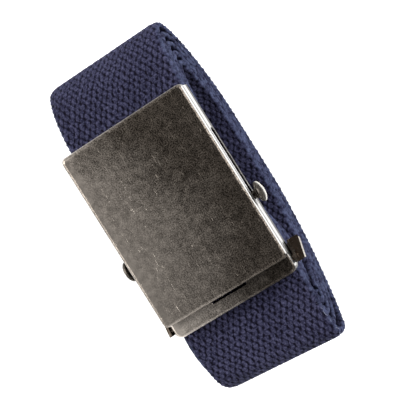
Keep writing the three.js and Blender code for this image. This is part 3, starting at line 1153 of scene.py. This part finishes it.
@dataclass
class SheetPan:
    """A shallow pan of bent sheet, open downward."""

    left: float
    right: float
    half_width: float
    face: float
    depth: float  # how far its walls reach down
    sheet: float
    bend: float  # the outer radius between face and walls
    corner: float  # the outer radius between the walls
    steps: int = 10

    def ring(self, inset: float, level: float) -> list[Place]:
        """A rectangle with round corners at one level.

        Args:
            inset: how far it lies inside the pan's outline.
            level: its height.

        Returns:
            The points.
        """
        corner = max(self.corner - inset, 0.05 * MM)
        left, right, half = self.left + inset, self.right - inset, self.half_width - inset
        centres = (
            (right - corner, half - corner),
            (left + corner, half - corner),
            (left + corner, corner - half),
            (right - corner, corner - half),
        )
        points = []
        for number, (x, y) in enumerate(centres):
            for cosine, sine in arc(self.steps, number * QUARTER):
                points.append((x + corner * cosine, y + corner * sine, level))
        return points

    def mesh(self, name: str) -> bpy.types.Mesh:
        """The pan as a closed mesh.

        Args:
            name: the mesh's name.

        Returns:
            The mesh.
        """
        foot, crease = self.face - self.depth, self.face - self.bend
        small = self.bend - self.sheet
        quarter = arc(self.steps)
        rings = []
        for cosine, sine in reversed(quarter):
            rings.append(self.ring(self.sheet + small * (1 - cosine), crease + small * sine))
        rings += [self.ring(self.sheet, foot), self.ring(0.0, foot)]
        for cosine, sine in quarter:
            rings.append(self.ring(self.bend * (1 - cosine), crease + self.bend * sine))
        size = len(rings[0])
        last = (len(rings) - 1) * size
        faces: list[Sequence[int]] = [range(size), range(last, last + size)]
        for row in range(len(rings) - 1):
            for side in range(size):
                here, beside = row * size + side, row * size + (side + 1) % size
                faces.append((here, beside, beside + size, here + size))
        return mesh_of(name, [point for ring in rings for point in ring], faces)


@dataclass
class MetalPart:
    """A metal piece: its first shape, what is cut from it or added, and its rounded edges."""

    name: str
    mesh: bpy.types.Mesh
    bevel: float  # the radius of its edges
    # Each shape that is cut from it or added.
    joins: list[tuple[Cut, bpy.types.Mesh]] = field(default_factory=list)
    segments: int = 3
    merged: float = 0.004 * MM  # the distance between points that become one
    sharp: float = math.radians(38)  # the least angle of an edge that is rounded, in radians
    flat: float = math.radians(0.6)  # the most angle between faces that become one, in radians

    def build(self, finish: MetalFinish, body: Body, slot: Slot, node: Node) -> None:
        """Makes the piece and ties it to the frame.

        Args:
            finish: its metal.
            body: the body that it rides on.
            slot: the record's slot; not used.
            node: the node that it stands for.
        """
        piece = new_object(self.name, self.mesh)
        tools = []
        for number, (how, shape) in enumerate(self.joins):
            tools.append(new_object(f"{self.name}_tool_{number}", shape))
            join = piece.modifiers.new(f"join_{number}", "BOOLEAN")
            join.operation = how.value
            join.solver = "EXACT"
            join.object = tools[-1]
        settled(piece)
        for tool in tools:
            bpy.data.objects.remove(tool)
        self._clean(piece.data)
        metal = finish.build()
        self._paint(piece.data, metal, metal)
        edges = piece.modifiers.new("edges", "BEVEL")
        edges.width = self.bevel
        edges.segments = self.segments
        edges.material = 1
        edges.limit_method = "ANGLE"
        edges.angle_limit = self.sharp
        edges.use_clamp_overlap = True
        piece.data.shade_smooth()
        even = piece.modifiers.new("even", "WEIGHTED_NORMAL")
        even.keep_sharp = True
        settled(piece)
        self._mark_edge_crowns(piece.data)
        self._paint(piece.data, metal)
        attach(piece, body, node)

    def _clean(self, mesh: bpy.types.Mesh) -> None:
        """Merges doubled points and flat neighbours after the joins.

        Args:
            mesh: the piece's mesh.
        """
        tidy = bmesh.new()
        tidy.from_mesh(mesh)
        bmesh.ops.remove_doubles(tidy, verts=tidy.verts, dist=self.merged)
        bmesh.ops.dissolve_limit(tidy, angle_limit=self.flat, verts=tidy.verts, edges=tidy.edges)
        bmesh.ops.recalc_face_normals(tidy, faces=tidy.faces)
        tidy.to_mesh(mesh)
        tidy.free()

    @staticmethod
    def _paint(mesh: bpy.types.Mesh, *materials: bpy.types.Material) -> None:
        """Gives a mesh these materials and no other.

        Args:
            mesh: the piece's mesh.
            materials: its materials in order.
        """
        mesh.materials.clear()
        for material in materials:
            mesh.materials.append(material)

    @staticmethod
    def _mark_edge_crowns(mesh: bpy.types.Mesh) -> None:
        """Writes 1 on the crown of each rounded edge and 0 elsewhere.

        Args:
            mesh: the piece's mesh, where the faces of rounded edges have the second material.
        """
        corners = np.zeros(len(mesh.loops), np.int32)
        mesh.loops.foreach_get("vertex_index", corners)
        sizes = np.zeros(len(mesh.polygons), np.int32)
        mesh.polygons.foreach_get("loop_total", sizes)
        kinds = np.zeros(len(mesh.polygons), np.int32)
        mesh.polygons.foreach_get("material_index", kinds)
        flat = np.repeat(kinds == 0, sizes)
        on_flat = np.bincount(corners, flat, minlength=len(mesh.vertices))
        layer = mesh.attributes.new("edge_crown", "FLOAT", "POINT")
        layer.data.foreach_set("value", (on_flat == 0).astype(np.float32))
        mesh.polygons.foreach_set("material_index", np.zeros(len(kinds), np.int32))


def box_mesh(name: str, low: Place, high: Place) -> bpy.types.Mesh:
    """A box between two corners, as a cutter.

    Args:
        name: the mesh's name.
        low: the corner with the least coordinates.
        high: the corner with the greatest.

    Returns:
        The mesh.
    """
    outline = [(low[0], low[2]), (high[0], low[2]), (high[0], high[2]), (low[0], high[2])]
    return prism(name, outline, low[1], high[1])


def slot_mesh(
    name: str, ends: tuple[float, float], level: float, radius: float, reach: float, steps: int = 16
) -> bpy.types.Mesh:
    """A round-ended bar across the buckle, as a cutter.

    Args:
        name: the mesh's name.
        ends: the left and the right centre.
        level: the centres' height.
        radius: half the slot's height.
        reach: how far it reaches to each side.
        steps: faces round each end.

    Returns:
        The mesh.
    """
    outline = []
    for centre, start in zip(reversed(ends), (-QUARTER, QUARTER)):
        for cosine, sine in arc(steps, start, math.pi):
            outline.append((centre + radius * cosine, level + radius * sine))
    return prism(name, outline, -reach, reach)


def prism(name: str, outline: Sequence[tuple[float, float]], y0: float, y1: float) -> bpy.types.Mesh:
    """An outline in the XZ plane, drawn out along Y.

    Args:
        name: the mesh's name.
        outline: its points.
        y0: where it begins.
        y1: where it ends.

    Returns:
        The mesh.
    """
    size = len(outline)
    points = [(x, y, z) for y in (y0, y1) for x, z in outline]
    faces: list[Sequence[int]] = [range(size), range(size, 2 * size)]
    faces += [(i, (i + 1) % size, (i + 1) % size + size, i + size) for i in range(size)]
    return mesh_of(name, points, faces)


@dataclass
class Cover:
    """The face plate with a hooked tab at each end."""

    finish: MetalFinish
    flange: float = 3.0 * MM  # the depth of its bent edges
    sheet: float = 0.6 * MM
    bend: float = 1.2 * MM  # the outer radius of its bent edges
    corner: float = 1.6 * MM  # the outer radius of its corners
    tab_half: float = 5.5 * MM
    tab_reach: float = 2.8 * MM  # how far a tab's foot reaches inward
    tab_bend: float = 0.75 * MM  # the outer radius of a tab's bend
    tab_steps: int = 6
    bevel: float = 0.12 * MM

    def hook(self, name: str, outer: float, inward: int, top: float, foot: float) -> bpy.types.Mesh:
        """A tab that hangs from an end wall and bends inward.

        Args:
            name: the mesh's name.
            outer: the wall's outer face.
            inward: 1 if inward is +X, -1 if it is -X.
            top: where the tab starts in the wall.
            foot: the underside of its foot.

        Returns:
            The mesh.
        """
        sheet, radius = self.sheet, self.tab_bend
        small = radius - sheet
        outside, inside = [(0.0, top)], [(sheet, top)]
        for cosine, sine in arc(self.tab_steps):
            outside.append((radius * (1 - cosine), foot + radius * (1 - sine)))
            inside.append((sheet + small * (1 - cosine), foot + sheet + small * (1 - sine)))
        outside.append((self.tab_reach, foot))
        inside.append((self.tab_reach, foot + sheet))
        outline = [(outer + inward * x, z) for x, z in outside + inside[::-1]]
        return prism(name, outline, -self.tab_half, self.tab_half)

    def build(self) -> None:
        """Makes the piece."""
        low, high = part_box(Node.COVER.value)
        pan = SheetPan(
            left=low.x,
            right=high.x,
            half_width=high.y,
            face=high.z,
            depth=self.flange,
            sheet=self.sheet,
            bend=self.bend,
            corner=self.corner,
        )
        part = MetalPart("cover_plate_detail", pan.mesh("cover"), self.bevel)
        top = high.z - self.flange + self.sheet
        for label, outer, inward in (("tab_left", low.x, 1), ("tab_right", high.x, -1)):
            part.joins.append((Cut.ADD, self.hook(label, outer, inward, top, low.z)))
        part.build(self.finish, Body.BELT, Slot.GUNMETAL, Node.COVER)


@dataclass
class Base:
    """The channel behind the cover, slotted for the pin, the clamp and the cover's tab."""

    finish: MetalFinish
    sheet: float = 0.6 * MM
    bend: float = 1.0 * MM  # the outer radius between back and walls
    corner: float = 2.2 * MM  # the outer radius between the walls
    pin_travel: float = 21.0 * MM  # how far the pin slides
    slot_radius: float = 1.3 * MM  # half the height of the pin's slots
    # The place in X and Z and the radius of the clamp's holes.
    pivot: Three = (26.1 * MM, 43.0 * MM, 1.1 * MM)
    # Half the length, half the width and the depth of the slot for the cover's tab.
    tab_slot: Three = (0.9 * MM, 5.8 * MM, 1.6 * MM)
    bevel: float = 0.10 * MM

    def build(self) -> None:
        """Makes the piece from a pan that loses its left end."""
        low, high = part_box(Node.BASE.value)
        pin_low, pin_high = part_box(Node.PIN.value)
        overrun = self.corner + MM
        reach = 2 * high.y
        pan = SheetPan(
            left=low.x - overrun,
            right=high.x,
            half_width=high.y,
            face=high.z,
            depth=high.z - low.z,
            sheet=self.sheet,
            bend=self.bend,
            corner=self.corner,
        )
        beyond = (low.x - 2 * overrun, -reach, low.z - MM)
        open_end = box_mesh("open_end", beyond, (low.x, reach, high.z + MM))
        pin_x, pin_z = (pin_low.x + pin_high.x) / 2, (pin_low.z + pin_high.z) / 2
        ends = (pin_x - self.pin_travel, pin_x)
        travel = slot_mesh("travel", ends, pin_z, self.slot_radius, reach)
        hole_x, hole_z, hole_radius = self.pivot
        ends = (hole_x, hole_x + 0.001 * MM)
        hole = slot_mesh("pivot", ends, hole_z, hole_radius, reach)
        tab_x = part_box(Node.COVER.value)[1].x
        half, side, deep = self.tab_slot
        under = (tab_x - half, -side, high.z - deep)
        tab_slot = box_mesh("tab_slot", under, (tab_x + half, side, high.z + MM))
        cuts = [(Cut.TAKE_AWAY, shape) for shape in (open_end, travel, hole, tab_slot)]
        part = MetalPart("buckle_base_detail", pan.mesh("base"), self.bevel, cuts)
        part.build(self.finish, Body.BELT, Slot.STEEL, Node.BASE)


@dataclass
class Pin:
    """The locking pin: roller, rod, necks and domed heads, turned in one piece."""

    finish: MetalFinish
    sides: int = 40
    dome_steps: int = 8
    bevel: float = 0.04 * MM
    # Radius and place along the pin in millimetres, from its middle to the head's rim.
    profile: tuple[tuple[float, float], ...] = (
        (1.25, 0.0),
        (1.25, 19.45),
        (1.10, 19.6),
        (1.05, 19.6),
        (1.05, 21.25),
        (1.50, 21.25),
        (1.65, 21.4),
        (1.65, 22.25),
        (3.02, 22.25),
        (3.20, 22.43),
        (3.20, 22.6),
    )

    def build(self) -> None:
        """Makes the piece."""
        low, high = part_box(Node.PIN.value)
        x, z = (low.x + high.x) / 2, (low.z + high.z) / 2
        half = [(radius * MM, along * MM) for radius, along in self.profile]
        rim_radius, rim = half[-1]
        for cosine, sine in arc(self.dome_steps)[1:-1]:
            half.append((rim_radius * cosine, rim + (high.y - rim) * sine))
        whole = [(radius, -along) for radius, along in half[:0:-1]] + half
        points = [(x, low.y, z)]
        for radius, along in whole:
            for cosine, sine in arc(self.sides, turn=2 * math.pi)[:-1]:
                points.append((x + radius * cosine, along, z + radius * sine))
        points.append((x, high.y, z))
        last = 1 + (len(whole) - 1) * self.sides
        faces: list[Sequence[int]] = []
        for side in range(self.sides):
            beside = (side + 1) % self.sides
            faces.append((0, 1 + side, 1 + beside))
            for here in range(1, last, self.sides):
                there = here + self.sides
                faces.append((here + side, there + side, there + beside, here + beside))
            faces.append((last + beside, last + side, len(points) - 1))
        part = MetalPart("locking_pin_detail", mesh_of("pin", points, faces), self.bevel)
        part.build(self.finish, Body.PIN, Slot.PIN, Node.PIN)


@dataclass
class Clamp:
    """The end clamp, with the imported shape's edges rounded off."""

    finish: MetalFinish
    bevel: float = 0.26 * MM

    def build(self) -> None:
        """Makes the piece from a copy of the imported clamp."""
        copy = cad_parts[Node.CLAMP.value].data.copy()
        part = MetalPart("end_clamp_detail", copy, self.bevel)
        part.build(self.finish, Body.BELT, Slot.CLAMP, Node.CLAMP)


@dataclass(frozen=True)
class Lamp:
    """A soft box that looks at the belt."""

    name: str
    place: Place
    size: tuple[float, float]
    watts: float
    tint: Colour = WHITE
    aim: Place = (0.0, 0.0, 30.0 * MM)

    def hang(self) -> None:
        """Puts the lamp in the scene."""
        data = bpy.data.lights.new(self.name, "AREA")
        data.shape = "RECTANGLE"
        data.size, data.size_y = self.size
        data.energy = self.watts
        data.color = self.tint[:3]
        spot = Vector(self.place)
        turned = (Vector(self.aim) - spot).to_track_quat("-Z", "Y").to_matrix().to_4x4()
        new_object(self.name, data).matrix_world = Matrix.Translation(spot) @ turned


@dataclass
class Studio:
    """Floor, lights and camera."""

    tilt: float = math.radians(18.0)  # the camera's angle from straight above, toward +Y, in radians
    turn: float = math.radians(57.9)  # the belt's turn in the picture, in radians
    distance: float = 0.4
    target: Place = (-3.35 * MM, 0.0, 48.9 * MM)  # the middle of the cover plate's face
    # How far right of and above the target the picture's middle lies.
    aside: tuple[float, float] = (10.07 * MM, 0.17 * MM)
    lens: float = 124.3
    sensor: float = 36.0
    clip: tuple[float, float] = (0.01, 20.0)
    lamps: tuple[Lamp, ...] = (
        Lamp("left", (-0.45, -0.85, 0.55), (0.7, 0.5), 22.0, (1.0, 0.985, 0.96, 1.0)),
        Lamp("right", (0.85, 0.35, 0.75), (0.7, 0.6), 8.0),
        Lamp("rim", (-0.95, 0.15, 0.35), (0.5, 0.5), 6.0, (0.93, 0.97, 1.0, 1.0)),
        Lamp("back", (-0.25, 0.95, 0.55), (0.8, 0.5), 22.0, (0.97, 0.985, 1.0, 1.0)),
    )
    sky: Colour = (1.0, 0.995, 0.985, 1.0)
    zenith: float = 0.20  # the sky's strength overhead
    horizon: float = 1.15  # its strength low down
    left_sky: float = 0.25  # the share of it that the -X side has
    side_glow: float = 0.5  # what the sky adds toward -Y
    floor_reach: float = 3.0  # half the floor's width
    floor_gap: float = 0.05 * MM  # how far the floor lies below the belt

    def camera(self) -> None:
        """Sets up the camera at the photograph's place."""
        target = Vector(self.target)
        away = Vector((0.0, math.sin(self.tilt), math.cos(self.tilt)))
        across = Vector((1.0, 0.0, 0.0))
        upward = Vector((0.0, math.cos(self.tilt), -math.sin(self.tilt)))
        right = across * math.cos(self.turn) + upward * math.sin(self.turn)
        up = upward * math.cos(self.turn) - across * math.sin(self.turn)
        eye = target + away * self.distance
        aim = target + right * self.aside[0] + up * self.aside[1]
        back = (eye - aim).normalized()
        right = up.cross(back).normalized()
        up = back.cross(right)
        data = bpy.data.cameras.new("camera")
        data.lens = self.lens
        data.sensor_width = self.sensor
        data.clip_start, data.clip_end = self.clip
        made = new_object("camera", data)
        turned = Matrix((right, up, back)).transposed().to_4x4()
        made.matrix_world = Matrix.Translation(eye) @ turned
        bpy.context.scene.camera = made

    def lights(self) -> None:
        """Hangs the soft boxes and makes the sky."""
        for lamp in self.lamps:
            lamp.hang()
        world = bpy.data.worlds.new("studio")
        bpy.context.scene.world = world
        world.use_nodes = True
        graph = Graph(world.node_tree)
        x, y, z = graph.axes(graph.coordinates("Generated"))
        low = (1.0 - z.at_least(0.0)).ramp(0.08, 0.75, self.zenith, self.horizon)
        side = (y * -1.0).ramp(0.35, 0.85) * self.side_glow
        glow = low * x.ramp(-0.75, -0.15, self.left_sky, 1.0) + side
        sky = graph.add("ShaderNodeBackground", values={"Color": self.sky, "Strength": glow})
        graph.add("ShaderNodeOutputWorld", values={"Surface": graph.out(sky)})

    def floor(self) -> None:
        """Lays a pale floor under the belt."""
        reach, level = self.floor_reach, -self.floor_gap
        turns = ((-1, -1), (1, -1), (1, 1), (-1, 1))
        corners = [(x * reach, y * reach, level) for x, y in turns]
        piece = new_object("floor", mesh_of("floor", corners, [(0, 1, 2, 3)]))
        piece.data.materials.append(FloorFinish("floor").build())


class Belt:
    """The whole belt."""

    def __init__(self) -> None:
        """Reads the strap's route and chooses the finishes."""
        self.route = StrapRoute(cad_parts[Node.STRAP.value])
        self.gunmetal = MetalFinish("gunmetal")
        self.steel = MetalFinish(
            "steel",
            dark=linear(46, 42, 38),
            light=linear(184, 176, 168),
            # painted highlight on the base's +Y walls
            wall_from=20.2 * MM,
            wall_level=(42.4 * MM, 42.9 * MM),
            turn=0.1,
        )
        self.bright = MetalFinish(
            "pin",
            dark=linear(42, 39, 36),
            light=linear(66, 62, 58),
            # painted highlight: a lit crescent on the dome of the +Y head
            wall=linear(228, 224, 217),
            wall_from=22.85 * MM,
            wall_level=(44.6 * MM, 43.2 * MM),
            glance=(0.8, 0.78, 0.76, 1.0),
            turn=1.1,
        )
        self.dull = MetalFinish(
            "clamp",
            dark=linear(52, 46, 41),
            light=linear(88, 80, 72),
            # painted highlight along the clamp's edges, with their wear, in bright metal
            bared_and_highlight=linear(225, 218, 208),
            # painted highlight: a bright line on the +Y ear, beside a slanted edge
            wall=linear(225, 220, 212),
            wall_from=21.9 * MM,
            wall_level=(30.0 * MM, 31.0 * MM),
            wall_line=(0.733, -0.68, -5.45 * MM, -5.15 * MM),
            # the edges show all of it: wear and painted highlight
            rub_and_highlight_share=1.0,
            glance=(0.22, 0.20, 0.18, 1.0),
            rough=(0.34, 0.46),
            turn=0.7,
        )

    def build(self) -> None:
        """Makes every piece, the strap first."""
        log.info("strap: %.1f mm", self.route.length / MM)
        WovenStrap(self.route).build(WebbingFinish("webbing").build())
        LooseThreads(self.route).build(ThreadFinish("thread").build())
        Base(self.steel).build()
        Pin(self.bright).build()
        Clamp(self.dull).build()
        Cover(self.gunmetal).build()


def main() -> None:
    """Builds the scene around the frame."""
    logging.basicConfig(level=logging.INFO, format="%(name)s %(message)s")
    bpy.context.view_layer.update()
    bpy.context.scene.view_settings.view_transform = "Standard"
    studio = Studio()
    studio.camera()
    studio.lights()
    studio.floor()
    Belt().build()


if __name__ == "__main__":
    main()
